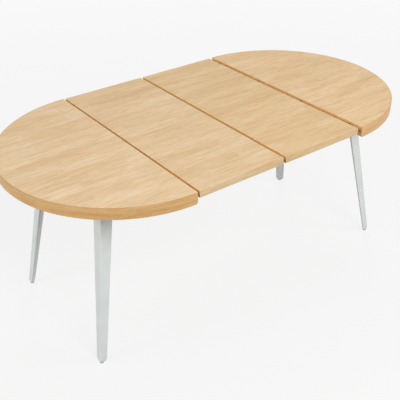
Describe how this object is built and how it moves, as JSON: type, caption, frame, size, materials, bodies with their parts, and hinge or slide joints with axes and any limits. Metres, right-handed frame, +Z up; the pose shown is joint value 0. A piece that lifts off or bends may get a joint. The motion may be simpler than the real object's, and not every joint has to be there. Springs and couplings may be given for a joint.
{
  "type": "butterfly leaf table",
  "caption": "Extending dining table with half-round ends drawn apart on slides, hinged half-leaves between them and splayed tapered white legs.",
  "frame": {"origin": "on the floor, under the middle of the open table", "axes": "+X along the table towards the right end, +Y to the far side, +Z up"},
  "size_m": [1.834, 1, 0.75],
  "materials": {
    "oak_veneer": "matt lacquered light oak veneer, grain along the table",
    "oak_veneer_leaf": "matt lacquered light oak veneer, grain along the table",
    "oak_edge": "satin oak edge band",
    "white_lacquer": "satin white lacquer on wood",
    "grey_plastic": "matt grey",
    "beech": "planed, unlacquered",
    "plate_steel": "white powder coat",
    "hinge_steel": "zinc plated",
    "screw_steel": "zinc plated",
    "dark_plastic": "matt dark brown"
  },
  "bodies": {
    "frame": {"middle_rail_front": "beech", "middle_rail_back": "beech", "bearer_screws": "screw_steel", "right_bearer": "beech", "right_hinge_fixed": "hinge_steel", "right_hinge_pins": "screw_steel", "right_bearer_hinge_screws": "screw_steel"},
    "left_carrier": {"left_bearer": "beech", "left_hinge_fixed": "hinge_steel", "left_hinge_pins": "screw_steel", "left_bearer_hinge_screws": "screw_steel"},
    "left_leaf": {"left_leaf": "oak_veneer_leaf", "left_hinge_moving": "hinge_steel", "left_leaf_hinge_screws": "screw_steel"},
    "right_leaf": {"right_leaf": "oak_veneer_leaf", "right_hinge_moving": "hinge_steel", "right_leaf_hinge_screws": "screw_steel"},
    "left_end": {"left_top": "oak_veneer", "left_edge_band": "oak_edge", "left_rim": "oak_edge", "left_batten": "oak_edge", "left_leg_front": "white_lacquer", "left_glide_front": "grey_plastic", "left_rail_front": "beech", "left_leg_back": "white_lacquer", "left_glide_back": "grey_plastic", "left_rail_back": "beech", "left_leg_plates": "plate_steel", "left_leg_bolts": "screw_steel", "left_leg_screws": "screw_steel", "left_dowels": "dark_plastic", "left_rail_blocks": "beech", "left_leaf_rests": "beech", "left_rail_screws": "screw_steel"},
    "right_end": {"right_top": "oak_veneer", "right_edge_band": "oak_edge", "right_rim": "oak_edge", "right_batten": "oak_edge", "right_leg_front": "white_lacquer", "right_glide_front": "grey_plastic", "right_rail_front": "beech", "right_leg_back": "white_lacquer", "right_glide_back": "grey_plastic", "right_rail_back": "beech", "right_leg_plates": "plate_steel", "right_leg_bolts": "screw_steel", "right_leg_screws": "screw_steel", "right_dowels": "dark_plastic", "right_rail_blocks": "beech", "right_leaf_rests": "beech", "right_rail_screws": "screw_steel"}
  },
  "joints": [
    {"name": "centre_close", "type": "slide", "parent": "frame", "child": "left_carrier", "axis": [1, 0, 0], "range_m": [0, 0.0128]},
    {"name": "left_end_slide", "type": "slide", "parent": "left_carrier", "child": "left_end", "axis": [1, 0, 0], "range_m": [-0.03, 0.0098]},
    {"name": "right_end_slide", "type": "slide", "parent": "frame", "child": "right_end", "axis": [1, 0, 0], "range_m": [-0.0208, 0.03]},
    {"name": "left_leaf_fold", "type": "hinge", "parent": "left_carrier", "child": "left_leaf", "pos_m": [-0.076, 0, 0.722], "axis": [0, 1, 0], "range_deg": [0, 88]},
    {"name": "right_leaf_fold", "type": "hinge", "parent": "frame", "child": "right_leaf", "pos_m": [0.065, 0, 0.722], "axis": [0, -1, 0], "range_deg": [0, 88]}
  ]
}
